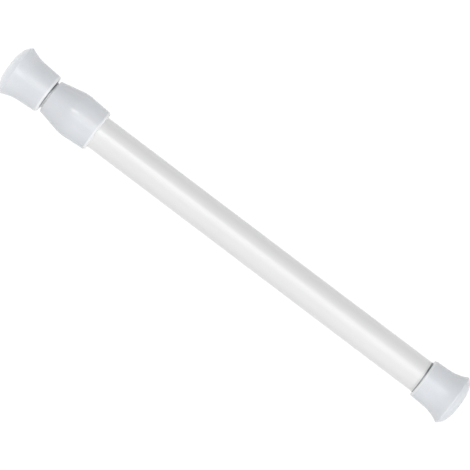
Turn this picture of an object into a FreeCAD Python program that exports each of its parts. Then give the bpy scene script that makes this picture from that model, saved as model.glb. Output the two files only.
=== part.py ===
# Spring tension rod, pushed fully together: two steel tubes that telescope, a flared soft foot on each
# end, a tapered collar on the mouth of the outer tube, and a twist lock with a compression spring inside.
# The rod lies along X. The origin is the centre of the outer foot's wall pad, and the inner foot is at -X.
import FreeCAD, Part
import math
import os
import Sketcher

doc = FreeCAD.newDocument("tension_rod")

# Driving dimensions in millimetres
SIZES = {
    # Tubes
    "outer_tube_diameter": 19.0,
    "outer_tube_wall": 0.6,
    "outer_tube_length": 253.2,
    "tube_clearance": 0.9,
    "inner_tube_wall": 0.5,
    # Feet: a flat pad, a crowned face, a sharp rim, a flare and a slightly tapered neck. Walls and reaches
    # are counted outwards from the outer tube, so both feet keep its width
    "foot_pad_diameter": 8.0,
    "foot_crown_depth": 2.4,
    "foot_shoulder_reach": 3.3,
    "foot_shoulder_round": 4.0,
    "foot_rim_depth": 4.7,
    "foot_rim_reach": 5.45,
    "foot_rim_round": 0.6,
    "foot_flare_depth": 11.0,
    "foot_flare_round": 24.0,
    "foot_mouth_wall": 1.9,
    "foot_mouth_round": 1.0,
    "foot_floor": 5.5,
    "foot_lead_in": 0.5,
    "outer_foot_length": 24.5,
    "outer_foot_neck_wall": 2.5,
    "inner_foot_length": 26.0,
    "inner_foot_neck_wall": 2.95,
    # Collar: a cone that rises from the nose to the belly and falls slowly to the lip
    "collar_length": 31.5,
    "collar_nose_wall": 1.45,
    "collar_nose_round": 0.6,
    "collar_nose_clearance": 0.3,
    "collar_belly_station": 15.6,
    "collar_belly_wall": 3.63,
    "collar_belly_round": 24.0,
    "collar_lip_wall": 2.5,
    "collar_lip_round": 1.3,
    "collar_socket_depth": 17.5,
    "collar_gap": 1.3,
    # Guide bush trapped in the collar
    "bush_length": 6.0,
    "bush_end_play": 0.2,
    "bush_collar_clearance": 0.08,
    "bush_tube_clearance": 0.05,
    "bush_slit": 1.2,
    "bush_chamfer": 0.4,
    # Guide plug and spring stop staked into the inner tube
    "plug_body_length": 12.0,
    "plug_flange_thickness": 2.0,
    "plug_flange_clearance": 0.2,
    "plug_chamfer": 0.6,
    "plug_corner_wall": 2.4,
    "stop_body_length": 10.0,
    "stake_dent_radius": 2.0,
    "stake_depth": 1.0,
    "stake_groove_width": 4.6,
    "stake_groove_clearance": 0.2,
    "stake_count": 3.0,
    # Lock shaft
    "spigot_clearance": 1.0,
    "spigot_length": 6.0,
    "spigot_chamfer": 0.8,
    "head_clearance": 0.3,
    "head_thickness": 3.0,
    "shank_clearance": 0.1,
    "spring_travel": 18.0,
    "travel_clearance": 0.3,
    "shaft_flange_clearance": 0.6,
    "shaft_flange_thickness": 2.5,
    "boss_ring_space": 3.4,
    "boss_offset": 0.5,
    # Lock ring, washer and screw
    "ring_bore_clearance": 0.05,
    "ring_clearance": 0.7,
    "ring_length": 10.0,
    "ring_side_play": 0.15,
    "ring_slit": 1.6,
    "ring_groove_width": 0.8,
    "ring_groove_depth": 0.4,
    "ring_groove_count": 16.0,
    "washer_clearance": 1.9,
    "washer_thickness": 1.0,
    "washer_bore_clearance": 0.2,
    "screw_diameter": 3.2,
    "screw_length": 12.0,
    "screw_point_length": 2.0,
    "screw_head_diameter": 6.4,
    "screw_head_height": 2.2,
    "screw_head_round": 1.2,
    "screw_recess_width": 0.9,
    "screw_recess_span": 3.6,
    "screw_recess_depth": 1.3,
    "lock_end_clearance": 2.0,
    # Compression spring
    "spring_wire": 1.2,
    "spring_tube_clearance": 0.7,
    "spring_length": 48.0,
    "spring_turns": 7.0,
}
FULL_TURN = 360.0
# How close an edge must lie to the corner that names it
EDGE_TOLERANCE = 0.001

sheet = doc.addObject("Spreadsheet::Sheet", "sizes")
for row, (alias, size) in enumerate(SIZES.items(), start=1):
    sheet.set(f"A{row}", alias)
    sheet.set(f"B{row}", str(size))
    sheet.setAlias(f"B{row}", alias)
doc.recompute()

# Radii that several pieces share, as expressions of the sizes
OUTER_TUBE_RADIUS = "sizes.outer_tube_diameter / 2"
OUTER_BORE_RADIUS = f"({OUTER_TUBE_RADIUS} - sizes.outer_tube_wall)"
INNER_TUBE_RADIUS = f"({OUTER_BORE_RADIUS} - sizes.tube_clearance)"
INNER_BORE_RADIUS = f"({INNER_TUBE_RADIUS} - sizes.inner_tube_wall)"
SPRING_RADIUS = f"({INNER_BORE_RADIUS} - sizes.spring_tube_clearance - sizes.spring_wire / 2)"
SPIGOT_RADIUS = f"({SPRING_RADIUS} - sizes.spring_wire / 2 - sizes.spigot_clearance)"
SHANK_HOLE_HALF = f"(({INNER_BORE_RADIUS} - sizes.plug_corner_wall) / sqrt(2))"
BOSS_RADIUS = f"({OUTER_BORE_RADIUS} - sizes.boss_ring_space)"

# Stations along the rod, as expressions of the sizes: each piece takes its place from its neighbour
OUTER_TUBE_START = "(-sizes.foot_floor - sizes.outer_tube_length)"
COLLAR_NOSE = f"({OUTER_TUBE_START} + sizes.collar_socket_depth - sizes.collar_length)"
BUSH_START = f"({OUTER_TUBE_START} - sizes.bush_end_play - sizes.bush_length)"
INNER_FOOT_PAD = f"({COLLAR_NOSE} - sizes.collar_gap - sizes.inner_foot_length)"
INNER_TUBE_START = f"({INNER_FOOT_PAD} + sizes.foot_floor)"
SCREW_SEAT = "(-sizes.foot_floor - sizes.lock_end_clearance - sizes.screw_head_height)"
BOSS_END = f"({SCREW_SEAT} - sizes.washer_thickness)"
BOSS_LENGTH = "(sizes.ring_length + 2 * sizes.ring_side_play)"
BOSS_START = f"({BOSS_END} - {BOSS_LENGTH})"
PLUG_LENGTH = "(sizes.plug_body_length + sizes.plug_flange_thickness)"
SHANK_LENGTH = f"({PLUG_LENGTH} + sizes.spring_travel + sizes.travel_clearance)"
PLUG_START = f"({BOSS_START} - sizes.shaft_flange_thickness - {SHANK_LENGTH})"
INNER_TUBE_END = f"({PLUG_START} + sizes.plug_body_length)"
SPRING_END = f"({PLUG_START} - sizes.head_thickness)"
SPRING_START = f"({SPRING_END} - sizes.spring_length)"
STOP_START = f"({SPRING_START} - sizes.stop_body_length)"
PLUG_STAKE = f"({PLUG_START} + sizes.plug_body_length / 2)"
STOP_STAKE = f"({STOP_START} + sizes.stop_body_length / 2)"


def value(expression):
    """What an expression of the sizes comes to."""
    return float(sheet.evalExpression(expression))


def new_body(label, station):
    """An empty body for one piece, placed along the rod."""
    body = doc.addObject("PartDesign::Body", label)
    body.Label = label
    body.setExpression("Placement.Base.x", station)
    return body


def new_sketch(body, name, role, depth="0"):
    """A sketch on one of the body's own origin planes, moved along that plane's normal by depth."""
    plane = next(feature for feature in body.Origin.OriginFeatures if feature.Role == role)
    sketch = body.newObject("Sketcher::SketchObject", f"{body.Name}_{name}")
    sketch.AttachmentSupport = [(plane, "")]
    sketch.MapMode = "FlatFace"
    sketch.setExpression("AttachmentOffset.Base.z", depth)
    return sketch


def bind(sketch, kind, name, place, expression):
    """A named dimension of a sketch that follows an expression of the sizes."""
    index = sketch.addConstraint(Sketcher.Constraint(kind, *place, value(expression)))
    sketch.renameConstraint(index, name)
    sketch.setExpression(f"Constraints.{name}", expression)


def draw_outline(sketch, corners):
    """A closed outline through corners (x, y). A third entry is the radius of an arc that bulges to the
    left of the way from that corner to the next."""
    points = [FreeCAD.Vector(value(corner[0]), value(corner[1]), 0) for corner in corners]
    first = sketch.GeometryCount
    starts = []
    ends = []
    for index, corner in enumerate(corners):
        start = points[index]
        end = points[(index + 1) % len(points)]
        if len(corner) == 2:
            sketch.addGeometry(Part.LineSegment(start, end))
            starts.append((first + index, 1))
            ends.append((first + index, 2))
            continue
        radius = value(corner[2])
        chord = end - start
        left = FreeCAD.Vector(-chord.y, chord.x, 0).normalize()
        rise = math.sqrt(radius ** 2 - (chord.Length / 2) ** 2)
        centre = (start + end) / 2 - left * rise
        circle = Part.Circle(centre, FreeCAD.Vector(0, 0, 1), radius)
        arc = Part.ArcOfCircle(circle, circle.parameter(end), circle.parameter(start))
        sketch.addGeometry(arc)
        starts.append((first + index, 2))
        ends.append((first + index, 1))
    for index, corner in enumerate(corners):
        following = starts[(index + 1) % len(corners)]
        sketch.addConstraint(Sketcher.Constraint("Coincident", *ends[index], *following))
        bind(sketch, "DistanceX", f"corner_{first + index}_x", (-1, 1, *starts[index]), corner[0])
        bind(sketch, "DistanceY", f"corner_{first + index}_y", (-1, 1, *starts[index]), corner[1])
        if len(corner) == 3:
            bind(sketch, "Radius", f"arc_{first + index}", (first + index,), corner[2])


def draw_circle(sketch, radius, height="0"):
    """A circle in a cross-section, centred at a height above the rod's axis."""
    centre = FreeCAD.Vector(0, value(height), 0)
    index = sketch.addGeometry(Part.Circle(centre, FreeCAD.Vector(0, 0, 1), value(radius)))
    bind(sketch, "DistanceX", f"circle_{index}_x", (-1, 1, index, 3), "0")
    bind(sketch, "DistanceY", f"circle_{index}_y", (-1, 1, index, 3), height)
    bind(sketch, "Radius", f"circle_{index}_radius", (index,), radius)


def turn(body, corners):
    """A piece turned about the rod's axis from an outline of (station, radius) corners."""
    sketch = new_sketch(body, "outline", "XZ_Plane")
    draw_outline(sketch, corners)
    revolution = body.newObject("PartDesign::Revolution", f"{body.Name}_turned")
    revolution.Profile = sketch
    revolution.ReferenceAxis = (sketch, ["H_Axis"])
    revolution.Angle = FULL_TURN
    doc.recompute()
    return revolution


def pad(body, sketch, length):
    """Material added along the rod from a cross-section."""
    feature = body.newObject("PartDesign::Pad", f"{sketch.Name}_pad")
    feature.Profile = sketch
    feature.setExpression("Length", length)
    doc.recompute()
    return feature


def cut(body, sketch, length):
    """Material removed along the rod, from a cross-section towards +X."""
    before = body.Shape.Volume
    feature = body.newObject("PartDesign::Pocket", f"{sketch.Name}_cut")
    feature.Profile = sketch
    feature.Reversed = True
    feature.setExpression("Length", length)
    doc.recompute()
    if body.Shape.Volume >= before:
        raise RuntimeError(f"{sketch.Name} removes nothing")
    return feature


def repeat_round(body, features, count, angle=FULL_TURN):
    """Copies of features spaced evenly round the rod's axis."""
    axis = next(feature for feature in body.Origin.OriginFeatures if feature.Role == "X_Axis")
    pattern = body.newObject("PartDesign::PolarPattern", f"{body.Name}_pattern")
    pattern.Originals = features
    pattern.Axis = (axis, [""])
    pattern.Angle = angle
    pattern.setExpression("Occurrences", count)
    body.Tip = pattern
    doc.recompute()
    return pattern


def round_corner(body, base, corner, radius):
    """Round the circular edge of a turned piece that runs through the corner (station, radius)."""
    station = value(corner[0])
    distance = value(corner[1])
    names = []
    for number, edge in enumerate(base.Shape.Edges, start=1):
        if not isinstance(edge.Curve, Part.Circle):
            continue
        along = abs(edge.Curve.Center.x - station)
        across = abs(edge.Curve.Radius - distance)
        if max(along, across) < EDGE_TOLERANCE:
            names.append(f"Edge{number}")
    fillet = body.newObject("PartDesign::Fillet", f"{body.Name}_round")
    fillet.Base = (base, names)
    fillet.setExpression("Radius", radius)
    doc.recompute()
    return fillet


def make_tube(label, start, length, outer_radius, bore_radius):
    """A plain steel tube."""
    body = new_body(label, start)
    turn(body, [("0", bore_radius), (length, bore_radius), (length, outer_radius), ("0", outer_radius)])
    return body


def make_foot(label, pad_station, length, neck_wall, tube_radius):
    """A soft foot moulded in one piece: the pad meets the wall, and the tube seats on the socket's floor."""
    body = new_body(label, pad_station)
    shoulder_radius = f"({OUTER_TUBE_RADIUS} + sizes.foot_shoulder_reach)"
    crown_width = f"({shoulder_radius} - sizes.foot_pad_diameter / 2)"
    crown_radius = f"({crown_width}^2 + sizes.foot_crown_depth^2) / (2 * sizes.foot_crown_depth)"
    pad_edge = ("0", "sizes.foot_pad_diameter / 2", crown_radius)
    shoulder = ("sizes.foot_crown_depth", shoulder_radius)
    rim = ("sizes.foot_rim_depth", f"{OUTER_TUBE_RADIUS} + sizes.foot_rim_reach")
    flare = ("sizes.foot_flare_depth", f"{OUTER_TUBE_RADIUS} + {neck_wall}")
    mouth = (length, f"{OUTER_TUBE_RADIUS} + sizes.foot_mouth_wall")
    lead_in = (length, f"{tube_radius} + sizes.foot_lead_in")
    bore = (f"{length} - sizes.foot_lead_in", tube_radius)
    floor = ("sizes.foot_floor", tube_radius)
    axis = ("sizes.foot_floor", "0")
    corners = [("0", "0"), pad_edge, shoulder, rim, flare, mouth, lead_in, bore, floor, axis]
    shape = turn(body, corners)
    shape = round_corner(body, shape, flare, "sizes.foot_flare_round")
    shape = round_corner(body, shape, shoulder, "sizes.foot_shoulder_round")
    shape = round_corner(body, shape, rim, "sizes.foot_rim_round")
    round_corner(body, shape, mouth, "sizes.foot_mouth_round")
    return body


def make_outer_foot():
    """The outer tube's foot, turned round so that its pad faces +X."""
    foot = make_foot(
        "outer_foot", "0", "sizes.outer_foot_length", "sizes.outer_foot_neck_wall", OUTER_TUBE_RADIUS
    )
    foot.Placement.Rotation = FreeCAD.Rotation(FreeCAD.Vector(0, 0, 1), FULL_TURN / 2)
    return foot


def make_inner_foot():
    """The inner tube's foot, with its pad towards -X."""
    return make_foot(
        "inner_foot",
        INNER_FOOT_PAD,
        "sizes.inner_foot_length",
        "sizes.inner_foot_neck_wall",
        INNER_TUBE_RADIUS,
    )


def make_collar():
    """The collar: the outer tube is pressed into its lip end, and its nose clears the inner tube."""
    body = new_body("collar", COLLAR_NOSE)
    nose_bore = f"{INNER_TUBE_RADIUS} + sizes.collar_nose_clearance"
    seat = "(sizes.collar_length - sizes.collar_socket_depth - sizes.bush_length - 2 * sizes.bush_end_play)"
    nose = ("0", f"{nose_bore} + sizes.collar_nose_wall")
    belly = ("sizes.collar_belly_station", f"{OUTER_TUBE_RADIUS} + sizes.collar_belly_wall")
    lip = ("sizes.collar_length", f"{OUTER_TUBE_RADIUS} + sizes.collar_lip_wall")
    socket = [("sizes.collar_length", OUTER_TUBE_RADIUS), (seat, OUTER_TUBE_RADIUS), (seat, nose_bore)]
    shape = turn(body, [("0", nose_bore), nose, belly, lip, *socket])
    shape = round_corner(body, shape, belly, "sizes.collar_belly_round")
    shape = round_corner(body, shape, lip, "sizes.collar_lip_round")
    round_corner(body, shape, nose, "sizes.collar_nose_round")
    return body


def make_guide_bush():
    """A split ring between the collar's shoulder and the outer tube's end: the inner tube slides in it."""
    body = new_body("guide_bush", BUSH_START)
    bore = f"({INNER_TUBE_RADIUS} + sizes.bush_tube_clearance)"
    outside = f"({OUTER_TUBE_RADIUS} - sizes.bush_collar_clearance)"
    chamfer = "sizes.bush_chamfer"
    turn(
        body,
        [
            ("0", bore),
            ("sizes.bush_length", bore),
            ("sizes.bush_length", f"{outside} - {chamfer}"),
            (f"sizes.bush_length - {chamfer}", outside),
            (chamfer, outside),
            ("0", f"{outside} - {chamfer}"),
        ],
    )
    cut_slit(body, "sizes.bush_slit", outside, "sizes.bush_length")
    return body


def cut_slit(body, width, reach, length):
    """A slit through the upper side of a ring."""
    sketch = new_sketch(body, "slit", "YZ_Plane")
    half = f"{width} / 2"
    top = f"{reach} + {width}"
    draw_outline(sketch, [(f"-{half}", "0"), (half, "0"), (half, top), (f"-{half}", top)])
    cut(body, sketch, length)


def make_outer_tube():
    """The outer tube: one end seats on its foot's floor, and the other is pressed into the collar."""
    length = "sizes.outer_tube_length"
    return make_tube("outer_tube", OUTER_TUBE_START, length, OUTER_TUBE_RADIUS, OUTER_BORE_RADIUS)


def make_inner_tube():
    """The inner tube, with rows of dents that stake the guide plug and the spring stop in place."""
    length = f"({INNER_TUBE_END} - {INNER_TUBE_START})"
    body = make_tube("inner_tube", INNER_TUBE_START, length, INNER_TUBE_RADIUS, INNER_BORE_RADIUS)
    bump_radius = "(sizes.stake_dent_radius + sizes.inner_tube_wall)"
    height = f"({INNER_BORE_RADIUS} - sizes.stake_depth + {bump_radius})"
    wall_middle = f"({INNER_TUBE_RADIUS} - sizes.inner_tube_wall / 2)"
    features = []
    for row, station in (("plug", PLUG_STAKE), ("stop", STOP_STAKE)):
        bump = body.newObject("PartDesign::AdditiveSphere", f"{row}_bump")
        bump.setExpression("Radius", bump_radius)
        bump.setExpression("Angle2", f"-asin(({height} - {wall_middle}) / {bump_radius})")
        dent = body.newObject("PartDesign::SubtractiveSphere", f"{row}_dent")
        dent.setExpression("Radius", "sizes.stake_dent_radius")
        for feature in (bump, dent):
            feature.setExpression("Placement.Base.x", f"{station} - {INNER_TUBE_START}")
            feature.setExpression("Placement.Base.z", height)
            features.append(feature)
        doc.recompute()
    repeat_round(body, features, "sizes.stake_count")
    return body


def stake_groove(middle):
    """Outline corners of the groove, centred on a station, that the staked dents fall into."""
    half = "sizes.stake_groove_width / 2"
    bottom = f"({INNER_BORE_RADIUS} - sizes.stake_depth - sizes.stake_groove_clearance)"
    return [
        (f"{middle} - {half}", INNER_BORE_RADIUS),
        (f"{middle} - {half}", bottom),
        (f"{middle} + {half}", bottom),
        (f"{middle} + {half}", INNER_BORE_RADIUS),
    ]


def make_guide_plug():
    """The plug in the inner tube's end: its flange guides the tube, its square hole drives the shaft."""
    body = new_body("guide_plug", PLUG_START)
    chamfer = "sizes.plug_chamfer"
    flange = f"({OUTER_BORE_RADIUS} - sizes.plug_flange_clearance)"
    half = SHANK_HOLE_HALF
    turn(
        body,
        [
            ("0", "0"),
            ("0", f"{INNER_BORE_RADIUS} - {chamfer}"),
            (chamfer, INNER_BORE_RADIUS),
            *stake_groove("sizes.plug_body_length / 2"),
            ("sizes.plug_body_length", INNER_BORE_RADIUS),
            ("sizes.plug_body_length", flange),
            (f"{PLUG_LENGTH} - {chamfer}", flange),
            (PLUG_LENGTH, f"{flange} - {chamfer}"),
            (PLUG_LENGTH, "0"),
        ],
    )
    hole = new_sketch(body, "hole", "YZ_Plane")
    draw_outline(hole, [(f"-{half}", f"-{half}"), (half, f"-{half}"), (half, half), (f"-{half}", half)])
    cut(body, hole, PLUG_LENGTH)
    return body


def make_spring_stop():
    """The plug that the spring pushes against, with a spigot that centres the spring."""
    body = new_body("spring_stop", STOP_START)
    chamfer = "sizes.spigot_chamfer"
    spigot = SPIGOT_RADIUS
    tip = "(sizes.stop_body_length + sizes.spigot_length)"
    turn(
        body,
        [
            ("0", "0"),
            ("0", f"{INNER_BORE_RADIUS} - sizes.plug_chamfer"),
            ("sizes.plug_chamfer", INNER_BORE_RADIUS),
            *stake_groove("sizes.stop_body_length / 2"),
            ("sizes.stop_body_length", INNER_BORE_RADIUS),
            ("sizes.stop_body_length", spigot),
            (f"{tip} - {chamfer}", spigot),
            (tip, f"{spigot} - {chamfer}"),
            (tip, "0"),
        ],
    )
    return body


def make_lock_shaft():
    """The shaft: spigot and head for the spring, square shank, flange, and the boss that is off centre."""
    body = new_body("lock_shaft", f"{SPRING_END} - sizes.spigot_length")
    chamfer = "sizes.spigot_chamfer"
    spigot = SPIGOT_RADIUS
    head = f"({INNER_BORE_RADIUS} - sizes.head_clearance)"
    flange = f"({OUTER_BORE_RADIUS} - sizes.shaft_flange_clearance)"
    core = f"({SHANK_HOLE_HALF} - sizes.shank_clearance)"
    head_end = "(sizes.spigot_length + sizes.head_thickness)"
    flange_start = f"({head_end} + {SHANK_LENGTH})"
    flange_end = f"({flange_start} + sizes.shaft_flange_thickness)"
    turn(
        body,
        [
            ("0", "0"),
            ("0", f"{spigot} - {chamfer}"),
            (chamfer, spigot),
            ("sizes.spigot_length", spigot),
            ("sizes.spigot_length", head),
            (head_end, head),
            (head_end, core),
            (flange_start, core),
            (flange_start, flange),
            (flange_end, flange),
            (flange_end, "0"),
        ],
    )
    shank = new_sketch(body, "shank", "YZ_Plane", head_end)
    draw_outline(shank, [(f"-{core}", f"-{core}"), (core, f"-{core}"), (core, core), (f"-{core}", core)])
    pad(body, shank, SHANK_LENGTH)
    boss = new_sketch(body, "boss", "YZ_Plane", flange_end)
    draw_circle(boss, BOSS_RADIUS, "sizes.boss_offset")
    pad(body, boss, BOSS_LENGTH)
    hole_length = "(sizes.screw_length - sizes.washer_thickness)"
    hole = new_sketch(body, "screw_hole", "YZ_Plane", f"{flange_end} + {BOSS_LENGTH} - {hole_length}")
    draw_circle(hole, "sizes.screw_diameter / 2")
    cut(body, hole, hole_length)
    return body


def make_lock_ring():
    """The ring on the boss: its outside is true to the rod, its bore is off centre, and it is split."""
    body = new_body("lock_ring", f"{BOSS_START} + sizes.ring_side_play")
    outside = f"({OUTER_BORE_RADIUS} - sizes.ring_clearance)"
    ring = new_sketch(body, "section", "YZ_Plane")
    draw_circle(ring, outside)
    draw_circle(ring, f"{BOSS_RADIUS} + sizes.ring_bore_clearance", "sizes.boss_offset")
    pad(body, ring, "sizes.ring_length")
    groove = new_sketch(body, "groove", "YZ_Plane")
    half = "sizes.ring_groove_width / 2"
    bottom = f"-({outside} - sizes.ring_groove_depth)"
    draw_outline(groove, [("0", bottom), (f"-{half}", f"-{outside}"), (half, f"-{outside}")])
    first = cut(body, groove, "sizes.ring_length")
    repeat_round(body, [first], "sizes.ring_groove_count")
    cut_slit(body, "sizes.ring_slit", outside, "sizes.ring_length")
    return body


def make_lock_washer():
    """The washer that keeps the ring on the boss."""
    bore = "(sizes.screw_diameter / 2 + sizes.washer_bore_clearance)"
    outside = f"({OUTER_BORE_RADIUS} - sizes.washer_clearance)"
    return make_tube("lock_washer", BOSS_END, "sizes.washer_thickness", outside, bore)


def make_lock_screw():
    """A pan-head self-tapping screw with a cross recess, driven into the shaft's end."""
    body = new_body("lock_screw", f"{SCREW_SEAT} - sizes.screw_length")
    shank = "sizes.screw_diameter / 2"
    head = "sizes.screw_head_diameter / 2"
    top = "(sizes.screw_length + sizes.screw_head_height)"
    shape = turn(
        body,
        [
            ("0", "0"),
            ("sizes.screw_point_length", shank),
            ("sizes.screw_length", shank),
            ("sizes.screw_length", head),
            (top, head),
            (top, "0"),
        ],
    )
    round_corner(body, shape, (top, head), "sizes.screw_head_round")
    recess = new_sketch(body, "recess", "YZ_Plane", f"{top} - sizes.screw_recess_depth")
    half_width = "sizes.screw_recess_width / 2"
    half_span = "sizes.screw_recess_span / 2"
    left = f"-{half_span}"
    low = f"-{half_width}"
    draw_outline(recess, [(left, low), (half_span, low), (half_span, half_width), (left, half_width)])
    first = cut(body, recess, "sizes.screw_recess_depth")
    repeat_round(body, [first], "2", FULL_TURN / 4)
    return body


def make_tension_spring():
    """A helical spring with plain ends, between the spring stop and the head of the shaft."""
    height = "(sizes.spring_length - sizes.spring_wire)"
    helix = doc.addObject("Part::Helix", "spring_coil")
    helix.setExpression("Radius", SPRING_RADIUS)
    helix.setExpression("Pitch", f"{height} / sizes.spring_turns")
    helix.setExpression("Height", height)
    section = doc.addObject("Part::Circle", "spring_section")
    section.setExpression("Radius", "sizes.spring_wire / 2")
    section.setExpression("Placement.Base.x", SPRING_RADIUS)
    section.Placement.Rotation = FreeCAD.Rotation(FreeCAD.Vector(1, 0, 0), FULL_TURN / 4)
    spring = doc.addObject("Part::Sweep", "tension_spring")
    spring.Sections = [section]
    spring.Spine = (helix, ["Edge1"])
    spring.Solid = True
    spring.Frenet = True
    spring.Placement.Rotation = FreeCAD.Rotation(FreeCAD.Vector(0, 1, 0), FULL_TURN / 4)
    spring.setExpression("Placement.Base.x", f"{SPRING_START} + sizes.spring_wire / 2")
    doc.recompute()
    return spring


pieces = [
    make_outer_tube(),
    make_outer_foot(),
    make_collar(),
    make_guide_bush(),
    make_inner_tube(),
    make_inner_foot(),
    make_guide_plug(),
    make_spring_stop(),
    make_tension_spring(),
    make_lock_shaft(),
    make_lock_ring(),
    make_lock_washer(),
    make_lock_screw(),
]
doc.recompute()

# Nothing is written unless every step of the model came out well
for item in doc.Objects:
    if "Invalid" in item.State or "Error" in item.State:
        raise RuntimeError(f"{item.Name} failed: {item.State}")
for piece in pieces:
    shape = piece.Shape
    if shape.isNull() or not shape.isValid() or len(shape.Solids) != 1:
        raise RuntimeError(f"{piece.Label} is not one sound solid")

os.makedirs("parts", exist_ok=True)
for piece in pieces:
    piece.Shape.exportStep(f"parts/{piece.Label}.step")
    box = piece.Shape.BoundBox
    print(f"{piece.Label}: x {box.XMin:.2f} to {box.XMax:.2f}, volume {piece.Shape.Volume:.1f} mm3")
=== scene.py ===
# Spring tension rod, pushed fully together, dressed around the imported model.
# The rod lies along X with the outer foot's wall pad at the origin, and the camera looks straight down.
import math

import bpy
import numpy as np
from mathutils import Matrix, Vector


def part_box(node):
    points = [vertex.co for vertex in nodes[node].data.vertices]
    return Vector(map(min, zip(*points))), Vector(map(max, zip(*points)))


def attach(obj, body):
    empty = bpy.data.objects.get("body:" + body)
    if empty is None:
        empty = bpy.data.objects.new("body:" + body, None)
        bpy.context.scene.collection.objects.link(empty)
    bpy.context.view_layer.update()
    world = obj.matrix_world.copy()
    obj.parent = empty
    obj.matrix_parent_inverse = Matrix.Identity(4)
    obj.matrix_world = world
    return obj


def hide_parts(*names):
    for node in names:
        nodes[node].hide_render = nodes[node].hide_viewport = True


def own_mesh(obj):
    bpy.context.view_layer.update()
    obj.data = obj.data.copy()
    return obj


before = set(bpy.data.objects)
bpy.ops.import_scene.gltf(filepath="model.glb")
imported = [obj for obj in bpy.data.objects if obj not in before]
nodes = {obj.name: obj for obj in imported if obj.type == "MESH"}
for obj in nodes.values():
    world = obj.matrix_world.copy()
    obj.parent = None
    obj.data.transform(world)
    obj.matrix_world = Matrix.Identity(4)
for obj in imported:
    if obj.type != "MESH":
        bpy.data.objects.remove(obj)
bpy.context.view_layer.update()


# Spring and lock unit
# The lock inside the tubes: a coiled steel spring, a zinc plated screw and washer, and moulded nylon plugs,
# shaft, bush and split ring. They are pressed or staked in, so they show only where a tube is open.
CLOUD_DETAIL = 3.0
CLOUD_LOW, CLOUD_HIGH = 0.3, 0.7
GRAIN_DETAIL = 2.0
NOISE_MIDDLE = 0.5


def feed(link, term, socket):
    """Sets a socket to a number, or joins it to the output that feeds it."""
    if isinstance(term, (int, float)):
        socket.default_value = term
    else:
        link(term, socket)


def add_math(tree, link, operation, *terms):
    """One Math node. A term is a number or the output that feeds it."""
    node = tree.new("ShaderNodeMath")
    node.operation = operation
    for term, socket in zip(terms, node.inputs):
        feed(link, term, socket)
    return node.outputs[0]


def add_noise(tree, link, place, scale, detail):
    """Noise on a place, with a scale in cells per metre that is a number or an output."""
    noise = tree.new("ShaderNodeTexNoise")
    noise.inputs["Detail"].default_value = detail
    link(place, noise.inputs["Vector"])
    feed(link, scale, noise.inputs["Scale"])
    return noise.outputs["Fac"]


def add_step(tree, link, value, low, high):
    """A smooth step: 0 up to low, 1 from high on. Low and high are numbers or outputs."""
    step = tree.new("ShaderNodeMapRange")
    step.interpolation_type = "SMOOTHSTEP"
    link(value, step.inputs["Value"])
    feed(link, low, step.inputs["From Min"])
    feed(link, high, step.inputs["From Max"])
    return step.outputs[0]


def new_group(name, inputs, outputs):
    """An empty node group with named sockets, and short ways to add and join its nodes."""
    group = bpy.data.node_groups.new(name, "ShaderNodeTree")
    for side, sockets in (("INPUT", inputs), ("OUTPUT", outputs)):
        for socket, kind in sockets:
            group.interface.new_socket(socket, in_out=side, socket_type=kind)
    tree = group.nodes
    given = tree.new("NodeGroupInput").outputs
    result = tree.new("NodeGroupOutput").inputs
    place = tree.new("ShaderNodeTexCoord").outputs["Object"]
    return group, tree, group.links.new, given, result, place


def make_grain_group():
    """Grain of a moulded or coated skin, shared by every finish: a cloudy noise drifts between two tones and
    a fine noise at the grain size swings the roughness and gives a height for bump."""
    number, tint = "NodeSocketFloat", "NodeSocketColor"
    inputs = [("First Tone", tint), ("Second Tone", tint), ("Cloud Size", number), ("Grain Size", number)]
    inputs += [("Roughness", number), ("Roughness Swing", number)]
    outputs = [("Colour", tint), ("Roughness", number), ("Height", number)]
    group, tree, link, given, result, place = new_group("skin_grain", inputs, outputs)
    cloud_scale = add_math(tree, link, "DIVIDE", 1.0, given["Cloud Size"])
    cloud = add_noise(tree, link, place, cloud_scale, CLOUD_DETAIL)
    drift = add_step(tree, link, cloud, CLOUD_LOW, CLOUD_HIGH)
    tone = tree.new("ShaderNodeMix")
    tone.data_type = "RGBA"
    link(drift, tone.inputs["Factor"])
    link(given["First Tone"], tone.inputs["A"])
    link(given["Second Tone"], tone.inputs["B"])
    link(tone.outputs["Result"], result["Colour"])
    grain_scale = add_math(tree, link, "DIVIDE", 1.0, given["Grain Size"])
    grain = add_noise(tree, link, place, grain_scale, GRAIN_DETAIL)
    link(grain, result["Height"])
    centred = add_math(tree, link, "SUBTRACT", grain, NOISE_MIDDLE)
    gloss = add_math(tree, link, "MULTIPLY_ADD", centred, given["Roughness Swing"], given["Roughness"])
    link(gloss, result["Roughness"])
    return group


skin_grain = make_grain_group()


def grained_finish(name, tones, cloud_size, grain_size, grain_height, roughness, swing):
    """A finish whose tone, roughness and bump all come from the skin grain."""
    material = bpy.data.materials.new(name)
    material.use_nodes = True
    tree, link = material.node_tree.nodes, material.node_tree.links.new
    shader = tree["Principled BSDF"]
    skin = tree.new("ShaderNodeGroup")
    skin.node_tree = skin_grain
    skin.inputs["First Tone"].default_value = (*tones[0], 1.0)
    skin.inputs["Second Tone"].default_value = (*tones[1], 1.0)
    skin.inputs["Cloud Size"].default_value = cloud_size
    skin.inputs["Grain Size"].default_value = grain_size
    skin.inputs["Roughness"].default_value = roughness
    skin.inputs["Roughness Swing"].default_value = swing
    bump = tree.new("ShaderNodeBump")
    bump.inputs["Distance"].default_value = grain_height
    link(skin.outputs["Height"], bump.inputs["Height"])
    link(skin.outputs["Colour"], shader.inputs["Base Color"])
    link(skin.outputs["Roughness"], shader.inputs["Roughness"])
    link(bump.outputs["Normal"], shader.inputs["Normal"])
    return material, tree, link, shader, skin, bump


def dress(node, material):
    """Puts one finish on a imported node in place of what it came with."""
    slots = nodes[node].data.materials
    slots.clear()
    slots.append(material)


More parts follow.
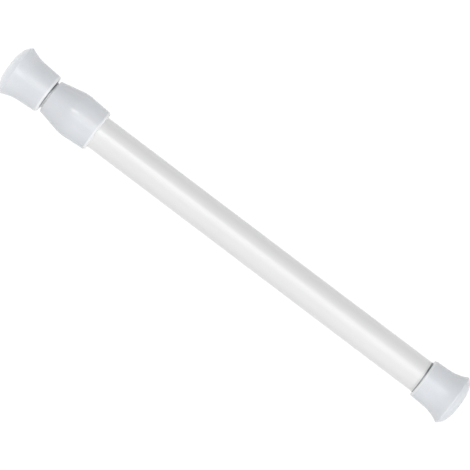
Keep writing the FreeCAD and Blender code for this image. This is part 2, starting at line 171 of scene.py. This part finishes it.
NYLON_TONES = (0.82, 0.80, 0.73), (0.78, 0.755, 0.68)
nylon, *_ = grained_finish(
    "natural_nylon", NYLON_TONES,
    cloud_size=0.004, grain_size=0.0002, grain_height=0.00002, roughness=0.5, swing=0.2,
)
for node in ("guide_bush", "guide_plug", "spring_stop", "lock_shaft", "lock_ring"):
    dress(node, nylon)

WIRE_TONES = (0.44, 0.45, 0.47), (0.38, 0.39, 0.41)
drawn_wire, _, _, wire_shader, *_ = grained_finish(
    "drawn_spring_wire", WIRE_TONES,
    cloud_size=0.003, grain_size=0.0002, grain_height=0.00001, roughness=0.35, swing=0.2,
)
wire_shader.inputs["Metallic"].default_value = 1.0
SPRING_WIRE = 0.0012
SPRING_TURNS = 7
STEPS_PER_TURN = 48
WIRE_SIDES = 16


def make_spring(low, high):
    """A round wire carried along a helix that fills a box. The helix turns about X and starts at the lowest
    side. Each ring of points is a circle in the plane of the outward and the sideways direction there."""
    radius = (high[2] - low[2] - SPRING_WIRE) / 2.0
    start, end = low[0] + SPRING_WIRE / 2.0, high[0] - SPRING_WIRE / 2.0
    share = np.linspace(0.0, 1.0, SPRING_TURNS * STEPS_PER_TURN + 1)
    turn = 2.0 * np.pi * SPRING_TURNS * share
    nothing = np.zeros_like(turn)
    outward = np.stack([nothing, np.sin(turn), -np.cos(turn)], axis=-1)
    along = np.stack([np.full_like(turn, end - start), nothing, nothing], axis=-1)
    round_axis = np.stack([nothing, np.cos(turn), np.sin(turn)], axis=-1)
    ahead = along + 2.0 * np.pi * SPRING_TURNS * radius * round_axis
    ahead /= np.linalg.norm(ahead, axis=-1, keepdims=True)
    sideways = np.cross(ahead, outward)
    centre = np.stack([start + (end - start) * share, nothing, nothing], axis=-1) + radius * outward
    angle = np.linspace(0.0, 2.0 * np.pi, WIRE_SIDES, endpoint=False)
    circle = np.cos(angle)[:, None] * outward[:, None] + np.sin(angle)[:, None] * sideways[:, None]
    points = (centre[:, None] + SPRING_WIRE / 2.0 * circle).reshape(-1, 3)
    index = np.arange(points.shape[0]).reshape(-1, WIRE_SIDES)
    beside = np.roll(index, -1, axis=1)
    quads = np.stack([index[:-1], beside[:-1], beside[1:], index[1:]], axis=-1).reshape(-1, 4)
    ends = [index[0, ::-1].tolist(), index[-1].tolist()]
    mesh = bpy.data.meshes.new("spring_coil")
    mesh.from_pydata(points.tolist(), [], [*quads.tolist(), *ends])
    mesh.polygons.foreach_set("use_smooth", [True] * len(quads) + [False] * len(ends))
    spring = bpy.data.objects.new("spring_coil", mesh)
    bpy.context.scene.collection.objects.link(spring)
    return spring


spring_low, spring_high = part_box("tension_spring")
spring = make_spring(spring_low, spring_high)
spring.data.materials.append(drawn_wire)
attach(spring, "inner")
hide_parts("tension_spring")
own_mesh(spring)

ZINC_TONES = (0.68, 0.69, 0.71), (0.60, 0.61, 0.65)
zinc, _, _, zinc_shader, *_ = grained_finish(
    "bright_zinc", ZINC_TONES,
    cloud_size=0.002, grain_size=0.0003, grain_height=0.00001, roughness=0.3, swing=0.2,
)
zinc_shader.inputs["Metallic"].default_value = 1.0
for node in ("lock_washer", "lock_screw"):
    dress(node, zinc)


# Tubes
# Two thin steel tubes, rolled and welded along their length and coated satin white. A narrow dark steel ring
# at each foot's mouth is painted shade for the crevice there, and the inner tube has faint slide marks.
COAT_TONES = (0.80, 0.80, 0.802), (0.812, 0.811, 0.811)
RUBBED_COAT = (0.62, 0.62, 0.615)
WELD_COAT = (0.70, 0.70, 0.695)
# Dark metallic colour of the ring at each foot's mouth, which is painted shade for the crevice there.
SHADE_LINE_STEEL = (0.29, 0.305, 0.32)
COAT_WEIGHT = 0.8
COAT_ROUGHNESS = 0.28
COAT_EDGE_FADE = 0.00006
EXTRA_SHADE_LINE_ROUGHNESS = 0.20
SEAM_EDGE, SEAM_END = 0.0003, 0.0007
SEAM_HEIGHT = 4.0
STREAK_STRETCH = 50.0
STREAK_SCALE = 1800.0
STREAK_DETAIL = 3.0
SCRATCH_LOW, SCRATCH_HIGH = 0.55, 0.8
OUTER_SHADE_LINE_WIDTH = 0.0007
INNER_SHADE_LINE_WIDTH = 0.0005
SHADE_LINE_UNDER_FOOT = 0.002


def make_band_group():
    """A band round the rod: 1 between two stations along X, fading over a short way at each end. A slant
    turns it askew: the stations move along X by that much for each metre along Y."""
    number = "NodeSocketFloat"
    inputs = [("From", number), ("To", number), ("Fade", number), ("Slant", number)]
    group, tree, link, given, result, place = new_group("band", inputs, [("Mask", number)])
    axes = tree.new("ShaderNodeSeparateXYZ")
    link(place, axes.inputs[0])
    askew = add_math(tree, link, "MULTIPLY", axes.outputs["Y"], given["Slant"])
    station = add_math(tree, link, "SUBTRACT", axes.outputs["X"], askew)
    begun_at = add_math(tree, link, "ADD", given["From"], given["Fade"])
    ended_at = add_math(tree, link, "ADD", given["To"], given["Fade"])
    begun = add_step(tree, link, station, given["From"], begun_at)
    ended = add_step(tree, link, station, given["To"], ended_at)
    link(add_math(tree, link, "SUBTRACT", begun, ended), result["Mask"])
    return group


def make_tube_marks_group():
    """Marks on a coated tube: seam is 1 on the weld line along the lowest side, and streak is noise drawn
    out along X, as rolling and sliding leave it."""
    number = "NodeSocketFloat"
    outputs = [("Seam", number), ("Streak", number)]
    group, tree, link, _, result, place = new_group("tube_marks", [], outputs)
    axes = tree.new("ShaderNodeSeparateXYZ")
    link(place, axes.inputs[0])
    beside = add_math(tree, link, "ABSOLUTE", axes.outputs["Y"])
    clear = add_step(tree, link, beside, SEAM_EDGE, SEAM_END)
    below = add_math(tree, link, "LESS_THAN", axes.outputs["Z"], 0.0)
    line = add_math(tree, link, "SUBTRACT", 1.0, clear)
    link(add_math(tree, link, "MULTIPLY", line, below), result["Seam"])
    drawn = tree.new("ShaderNodeMapping")
    drawn.inputs["Scale"].default_value = (1.0 / STREAK_STRETCH, 1.0, 1.0)
    link(place, drawn.inputs["Vector"])
    link(add_noise(tree, link, drawn.outputs[0], STREAK_SCALE, STREAK_DETAIL), result["Streak"])
    return group


band_group = make_band_group()
tube_marks = make_tube_marks_group()


def add_band(tree, first, last, fade, slant=0.0):
    """The mask of one band on a finish."""
    band = tree.new("ShaderNodeGroup")
    band.node_tree = band_group
    band.inputs["From"].default_value = first
    band.inputs["To"].default_value = last
    band.inputs["Fade"].default_value = fade
    band.inputs["Slant"].default_value = slant
    return band.outputs["Mask"]


def tint_where(tree, link, mask, under, tone):
    """The colour underneath, going over to a tone where the mask is 1."""
    mix = tree.new("ShaderNodeMix")
    mix.data_type = "RGBA"
    link(mask, mix.inputs["Factor"])
    link(under, mix.inputs["A"])
    mix.inputs["B"].default_value = (*tone, 1.0)
    return mix.outputs["Result"]


def coated_tube(name, shade_line_from, shade_line_to, slant, slide_wear):
    """The white coat, with a dark steel ring between two stations along X that is painted shade at a foot's
    mouth, and lengthwise marks of a given depth.
    """
    material, tree, link, shader, skin, bump = grained_finish(
        name, COAT_TONES,
        cloud_size=0.02, grain_size=0.0014, grain_height=0.00001, roughness=0.30, swing=0.08,
    )
    shader.inputs["Coat Roughness"].default_value = COAT_ROUGHNESS
    marks = tree.new("ShaderNodeGroup")
    marks.node_tree = tube_marks
    seam = marks.outputs["Seam"]
    scratch = add_step(tree, link, marks.outputs["Streak"], SCRATCH_LOW, SCRATCH_HIGH)
    wear = add_math(tree, link, "MULTIPLY", scratch, slide_wear)
    worn = tint_where(tree, link, wear, skin.outputs["Colour"], RUBBED_COAT)
    welded = tint_where(tree, link, seam, worn, WELD_COAT)
    # Painted shade: a narrow dark metallic ring at the foot's mouth stands in for the shade line of the
    # crevice.
    shade_line = add_band(tree, shade_line_from, shade_line_to, COAT_EDGE_FADE, slant)
    link(tint_where(tree, link, shade_line, welded, SHADE_LINE_STEEL), shader.inputs["Base Color"])
    link(shade_line, shader.inputs["Metallic"])
    dulled = add_math(tree, link, "ADD", wear, skin.outputs["Roughness"])
    rough = add_math(tree, link, "MULTIPLY_ADD", shade_line, EXTRA_SHADE_LINE_ROUGHNESS, dulled)
    link(rough, shader.inputs["Roughness"])
    coat = add_math(tree, link, "MULTIPLY_ADD", shade_line, -COAT_WEIGHT, COAT_WEIGHT)
    link(coat, shader.inputs["Coat Weight"])
    raised = add_math(tree, link, "MULTIPLY_ADD", seam, SEAM_HEIGHT, skin.outputs["Height"])
    link(raised, bump.inputs["Height"])
    return material


foot_low, foot_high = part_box("outer_foot")
outer_mouth, outer_pad = foot_low[0], foot_high[0]
foot_low, foot_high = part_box("inner_foot")
inner_pad, inner_mouth = foot_low[0], foot_high[0]
outer_coat = coated_tube(
    "white_coat_outer", slant=-0.04, slide_wear=0.06,
    shade_line_from=outer_mouth - OUTER_SHADE_LINE_WIDTH, shade_line_to=outer_mouth + SHADE_LINE_UNDER_FOOT,
)
dress("outer_tube", outer_coat)
inner_coat = coated_tube(
    "white_coat_inner", slant=0.052, slide_wear=0.25,
    shade_line_from=inner_mouth - SHADE_LINE_UNDER_FOOT, shade_line_to=inner_mouth + INNER_SHADE_LINE_WIDTH,
)
dress("inner_tube", inner_coat)


# Collar
# A hard moulded collar in cool white, pressed on the mouth of the outer tube. Its skin is a little glossier
# than the feet's, and a pale band on its lip is a painted highlight of the lip's rounded edge.
COLLAR_TONES = (0.717, 0.747, 0.780), (0.732, 0.747, 0.777)
# Pale tone of the painted highlights on the collar's lip and the feet's mouths, and of the painted light on
# the feet's crowns.
EDGE_HIGHLIGHT_TONE = (0.87, 0.878, 0.89)
LIP_DEPTH = 0.0016
LIP_MARGIN = 0.0001
LIP_FADE = 0.0007
PARTING_EDGE, PARTING_END = 0.00008, 0.00022
COLLAR_PARTING_HEIGHT = 2.5
TURNING_PITCH = 0.0006
GATE_EDGE, GATE_END = 0.0009, 0.0011


def make_mould_marks_group():
    """Marks that a two-part mould leaves: parting is 1 on the thin line at the height of the rod's axis,
    where the halves meet, turning is a sine of the distance from the axis, as a turned mould face leaves
    rings, and gate is 1 within a small disc on the axis, where the plastic flowed in."""
    number = "NodeSocketFloat"
    outputs = [("Parting", number), ("Turning", number), ("Gate", number)]
    group, tree, link, _, result, place = new_group("mould_marks", [], outputs)
    axes = tree.new("ShaderNodeSeparateXYZ")
    link(place, axes.inputs[0])
    beside = add_math(tree, link, "ABSOLUTE", axes.outputs["Z"])
    apart = add_step(tree, link, beside, PARTING_EDGE, PARTING_END)
    link(add_math(tree, link, "SUBTRACT", 1.0, apart), result["Parting"])
    squared = add_math(tree, link, "MULTIPLY", axes.outputs["Y"], axes.outputs["Y"])
    summed = add_math(tree, link, "MULTIPLY_ADD", axes.outputs["Z"], axes.outputs["Z"], squared)
    radius = add_math(tree, link, "SQRT", summed)
    phase = add_math(tree, link, "MULTIPLY", radius, 2.0 * math.pi / TURNING_PITCH)
    link(add_math(tree, link, "SINE", phase), result["Turning"])
    outside = add_step(tree, link, radius, GATE_EDGE, GATE_END)
    link(add_math(tree, link, "SUBTRACT", 1.0, outside), result["Gate"])
    return group


mould_marks = make_mould_marks_group()


def add_mould_marks(tree):
    """The mould marks of one finish."""
    marks = tree.new("ShaderNodeGroup")
    marks.node_tree = mould_marks
    return marks.outputs


def let_light_in(shader, share, depth):
    """Makes a finish milky: a share of the light goes in and spreads over a depth, alike in every colour."""
    shader.inputs["Subsurface Weight"].default_value = share
    shader.inputs["Subsurface Radius"].default_value = (1.0, 1.0, 1.0)
    shader.inputs["Subsurface Scale"].default_value = depth


collar_skin, tree, link, shader, skin, bump = grained_finish(
    "collar_plastic", COLLAR_TONES,
    cloud_size=0.008, grain_size=0.00035, grain_height=0.00001, roughness=0.20, swing=0.12,
)
lip_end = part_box("collar")[1][0]
# Painted highlight: the lip goes over to the pale tone, standing in for light caught on its rounded edge.
lip = add_band(tree, lip_end - LIP_DEPTH, lip_end + LIP_MARGIN, LIP_FADE)
link(tint_where(tree, link, lip, skin.outputs["Colour"], EDGE_HIGHLIGHT_TONE), shader.inputs["Base Color"])
parting = add_mould_marks(tree)["Parting"]
raised = add_math(tree, link, "MULTIPLY_ADD", parting, COLLAR_PARTING_HEIGHT, skin.outputs["Height"])
link(raised, bump.inputs["Height"])
let_light_in(shader, share=0.3, depth=0.0015)
dress("collar", collar_skin)


# Feet
# Soft moulded feet in cool white, pushed over the tube ends. The skin is satin with a fine grain. The mouths
# are painted paler as a highlight on their edges, and the crowned faces that meet the wall a little paler as
# painted light.
MILKY_TONES = (0.720, 0.751, 0.784), (0.735, 0.751, 0.781)
SCUFFED_RUBBER = (0.60, 0.615, 0.63)
RIM_MARGIN = 0.0008
RIM_DEPTH = 0.0007
RIM_HIGHLIGHT_SHARE = 0.85
CROWN_DEPTH = 0.0042
CROWN_FADE = 0.0016
CROWN_LIGHT_SHARE = 0.15
PAD_FADE = 0.0012
PAST_THE_END = 0.02
SCUFF_SCALE = 350.0
SCUFF_DETAIL = 5.0
SCUFF_LOW, SCUFF_HIGH = 0.5, 0.75
SCUFF_SHARE = 0.3
FOOT_PARTING_HEIGHT = 1.8
TURNING_HEIGHT = 0.5
GATE_HEIGHT = 6.0
foot_skin, tree, link, shader, skin, bump = grained_finish(
    "soft_foot", MILKY_TONES,
    cloud_size=0.008, grain_size=0.00035, grain_height=0.000016, roughness=0.28, swing=0.12,
)
# Painted highlights: both feet's mouths go over to the pale tone, standing in for light caught on their
# edges.
inner_rim = add_band(tree, inner_mouth - LIP_DEPTH, inner_mouth + LIP_MARGIN, LIP_FADE)
outer_rim = add_band(tree, outer_mouth - RIM_MARGIN, outer_mouth + RIM_DEPTH, LIP_FADE)
rims = add_math(tree, link, "ADD", inner_rim, outer_rim)
# Painted light: the crowned faces of both feet are made a little paler, standing in for light falling on the
# domes.
outer_crown = add_band(tree, outer_pad - CROWN_DEPTH, outer_pad + PAST_THE_END, CROWN_FADE)
inner_crown_edge = inner_pad + CROWN_DEPTH - CROWN_FADE
inner_crown = add_band(tree, inner_pad - PAST_THE_END, inner_crown_edge, CROWN_FADE)
crowns = add_math(tree, link, "ADD", outer_crown, inner_crown)
crown_light_share = add_math(tree, link, "MULTIPLY", crowns, CROWN_LIGHT_SHARE)
painted_light_share = add_math(tree, link, "MULTIPLY_ADD", rims, RIM_HIGHLIGHT_SHARE, crown_light_share)
# The pale tone mixed in here is painted light: highlights at the mouths and light on the crowns.
pale = tint_where(tree, link, painted_light_share, skin.outputs["Colour"], EDGE_HIGHLIGHT_TONE)
place = tree.new("ShaderNodeTexCoord").outputs["Object"]
rub = add_step(tree, link, add_noise(tree, link, place, SCUFF_SCALE, SCUFF_DETAIL), SCUFF_LOW, SCUFF_HIGH)
outer_face = add_band(tree, outer_pad - PAD_FADE, outer_pad + PAST_THE_END, PAD_FADE)
inner_face = add_band(tree, inner_pad - PAST_THE_END, inner_pad, PAD_FADE)
faces = add_math(tree, link, "ADD", outer_face, inner_face)
rubbed = add_math(tree, link, "MULTIPLY", rub, faces)
scuff = add_math(tree, link, "MULTIPLY", rubbed, SCUFF_SHARE)
link(tint_where(tree, link, scuff, pale, SCUFFED_RUBBER), shader.inputs["Base Color"])
marks = add_mould_marks(tree)
parted = add_math(tree, link, "MULTIPLY_ADD", marks["Parting"], FOOT_PARTING_HEIGHT, skin.outputs["Height"])
rings = add_math(tree, link, "MULTIPLY", marks["Turning"], crowns)
turned = add_math(tree, link, "MULTIPLY_ADD", rings, TURNING_HEIGHT, parted)
gated = add_math(tree, link, "MULTIPLY_ADD", marks["Gate"], GATE_HEIGHT, turned)
link(gated, bump.inputs["Height"])
let_light_in(shader, share=0.4, depth=0.002)
for node in ("outer_foot", "inner_foot"):
    dress(node, foot_skin)


# Floor
# A plain pale sheet below the rod. It looks white to the eye and in reflections, and it keeps the rod's
# soft shadow.
FLOOR_HEIGHT = -0.30
FLOOR_RADIUS = 12.0
FLOOR_RINGS = 8
FLOOR_SIDES = 48
FLOOR_BOUNCE = (0.8, 0.8, 0.8, 1.0)
FLOOR_SHADED = (0.3, 0.3, 0.3, 1.0)
FLOOR_GLOW = 0.78


def make_floor():
    """A flat disc: rings whose radius grows with the square of their number, each a circle of points, joined
    by quads, with one face inside the first ring."""
    rings = np.linspace(0.0, 1.0, FLOOR_RINGS + 1)[1:] ** 2 * FLOOR_RADIUS
    turns = np.linspace(0.0, 2.0 * np.pi, FLOOR_SIDES, endpoint=False)
    x = np.outer(rings, np.cos(turns))
    y = np.outer(rings, np.sin(turns))
    points = np.stack([x, y, np.full_like(x, FLOOR_HEIGHT)], axis=-1).reshape(-1, 3)
    index = np.arange(points.shape[0]).reshape(x.shape)
    following = np.roll(index, -1, axis=1)
    quads = np.stack([index[:-1], index[1:], following[1:], following[:-1]], axis=-1).reshape(-1, 4)
    mesh = bpy.data.meshes.new("floor")
    mesh.from_pydata(points.tolist(), [], [*quads.tolist(), index[0].tolist()])
    floor = bpy.data.objects.new("floor", mesh)
    bpy.context.scene.collection.objects.link(floor)
    return floor


def seen_by_eye(tree, link):
    """1 for rays from the camera or off a mirror or glass, 0 for rays that only light the scene."""
    path = tree.new("ShaderNodeLightPath").outputs
    plainly = add_math(tree, link, "MAXIMUM", path["Is Camera Ray"], path["Is Glossy Ray"])
    return add_math(tree, link, "MAXIMUM", plainly, path["Is Transmission Ray"])


floor = make_floor()
paper = bpy.data.materials.new("pale_floor")
paper.use_nodes = True
tree, link = paper.node_tree.nodes, paper.node_tree.links.new
tree.remove(tree["Principled BSDF"])
plain = tree.new("ShaderNodeBsdfDiffuse")
plain.inputs["Color"].default_value = FLOOR_BOUNCE
shaded = tree.new("ShaderNodeBsdfDiffuse")
shaded.inputs["Color"].default_value = FLOOR_SHADED
glow = tree.new("ShaderNodeEmission")
glow.inputs["Strength"].default_value = FLOOR_GLOW
lit = tree.new("ShaderNodeAddShader")
link(shaded.outputs[0], lit.inputs[0])
link(glow.outputs[0], lit.inputs[1])
either = tree.new("ShaderNodeMixShader")
link(seen_by_eye(tree, link), either.inputs[0])
link(plain.outputs[0], either.inputs[1])
link(lit.outputs[0], either.inputs[2])
link(either.outputs[0], tree["Material Output"].inputs["Surface"])
floor.data.materials.append(paper)


# Light
# Soft studio light: a pale room, brighter on the near side and towards the outer foot, a large softbox
# above the rod, and smaller lamps for the crest, both ends and the inner foot's flare. The outer end's lamp
# and the card beyond the inner foot make no reflections, and the flare's lamp only makes its highlight.
AMBIENT = 0.595
SIDE_FALL = 0.273
END_RISE = 0.115
MIRROR_FALL = 0.68
MIRROR_FALL_START, MIRROR_FALL_END = -0.1, 1.0
FLARE_FROM_PAD = 0.01
FLARE_RADIUS = 0.014
room = bpy.data.worlds.new("pale_room")
bpy.context.scene.world = room
room.use_nodes = True
tree, link = room.node_tree.nodes, room.node_tree.links.new
sky_axes = tree.new("ShaderNodeSeparateXYZ")
link(tree.new("ShaderNodeTexCoord").outputs["Generated"], sky_axes.inputs[0])
side = add_math(tree, link, "MULTIPLY_ADD", sky_axes.outputs["Y"], -SIDE_FALL, AMBIENT)
soft = add_math(tree, link, "MULTIPLY_ADD", sky_axes.outputs["X"], END_RISE, side)
shade = add_step(tree, link, sky_axes.outputs["Y"], MIRROR_FALL_START, MIRROR_FALL_END)
mirrored = add_math(tree, link, "MULTIPLY_ADD", shade, -MIRROR_FALL, 1.0)
path = tree.new("ShaderNodeLightPath").outputs
lighting = tree.new("ShaderNodeMix")
link(path["Is Glossy Ray"], lighting.inputs["Factor"])
link(soft, lighting.inputs["A"])
link(mirrored, lighting.inputs["B"])
direct = add_math(tree, link, "MAXIMUM", path["Is Camera Ray"], path["Is Transmission Ray"])
strength = tree.new("ShaderNodeMix")
strength.inputs["B"].default_value = 1.0
link(direct, strength.inputs["Factor"])
link(lighting.outputs[0], strength.inputs["A"])
link(strength.outputs[0], tree["Background"].inputs["Strength"])
tree["Background"].inputs["Color"].default_value = (1.0, 1.0, 1.0, 1.0)


def add_softbox(name, target, direction, distance, size, power):
    """A rectangular lamp at a distance in a direction from its target, facing it."""
    lamp = bpy.data.lights.new(name, "AREA")
    lamp.shape = "RECTANGLE"
    lamp.size, lamp.size_y = size
    lamp.energy = power
    towards = np.array(direction, float)
    towards /= np.linalg.norm(towards)
    softbox = bpy.data.objects.new(name, lamp)
    softbox.location = target + towards * distance
    across = np.cross([0.0, 1.0, 0.0], towards)
    across /= np.linalg.norm(across)
    up = np.cross(towards, across)
    softbox.rotation_euler = Matrix(np.stack([across, up, towards], axis=1)).to_euler()
    softbox.visible_camera = False
    bpy.context.scene.collection.objects.link(softbox)
    return softbox


rod_middle = np.array([(inner_pad + outer_pad) / 2.0, 0.0, 0.0])
inner_end = np.array([inner_pad + FLARE_FROM_PAD, 0.0, 0.0])
flare_crest = inner_end + np.array([0.0, 0.0, FLARE_RADIUS])
add_softbox("overhead_softbox", rod_middle, (0.02, 0.08, 1.0), distance=1.2, size=(0.8, 0.85), power=3.5)
add_softbox("crest_softbox", rod_middle, (-0.10, 0.25, 1.0), distance=2.5, size=(0.15, 0.15), power=1.2)
end_lamp = add_softbox(
    "outer_end_softbox", rod_middle, (1.2, 0.05, 1.0), distance=1.4, size=(0.35, 0.35), power=3.7
)
end_lamp.visible_glossy = False
add_softbox("inner_end_softbox", rod_middle, (-0.35, 0.2, 1.0), distance=1.4, size=(0.2, 0.2), power=1.35)
flare_lamp = add_softbox(
    "inner_flare_softbox", flare_crest, (0.74, 0.0, 1.0), distance=1.5, size=(0.2, 0.2), power=2.8
)
flare_lamp.visible_diffuse = False
inner_card = add_softbox(
    "inner_end_card", inner_end, (-1.0, 0.0, 0.0), distance=2.0, size=(0.08, 0.08), power=12.8
)
inner_card.visible_glossy = False


# Camera
# Straight above the rod with a long lens, turned so that the rod runs down to the right, and high enough
# for the picture to take in a given width at the rod's axis.
PICTURE_WIDTH = 0.2501
FIELD_OF_VIEW = math.radians(7.0)
ROD_SLOPE = math.radians(37.1)
SHIFT_ALONG = 0.0001
SHIFT_ACROSS = 0.0003
SENSOR_WIDTH = 36.0
half_view = math.tan(FIELD_OF_VIEW / 2.0)
eye = bpy.data.cameras.new("camera")
eye.sensor_width = SENSOR_WIDTH
eye.lens = SENSOR_WIDTH / (2.0 * half_view)
eye.clip_end = 50.0
camera = bpy.data.objects.new("camera", eye)
height = PICTURE_WIDTH / (2.0 * half_view)
camera.location = (rod_middle[0] + SHIFT_ALONG, SHIFT_ACROSS, height)
camera.rotation_euler = (0.0, 0.0, ROD_SLOPE)
bpy.context.scene.collection.objects.link(camera)
bpy.context.scene.camera = camera
bpy.context.scene.view_settings.view_transform = "Standard"
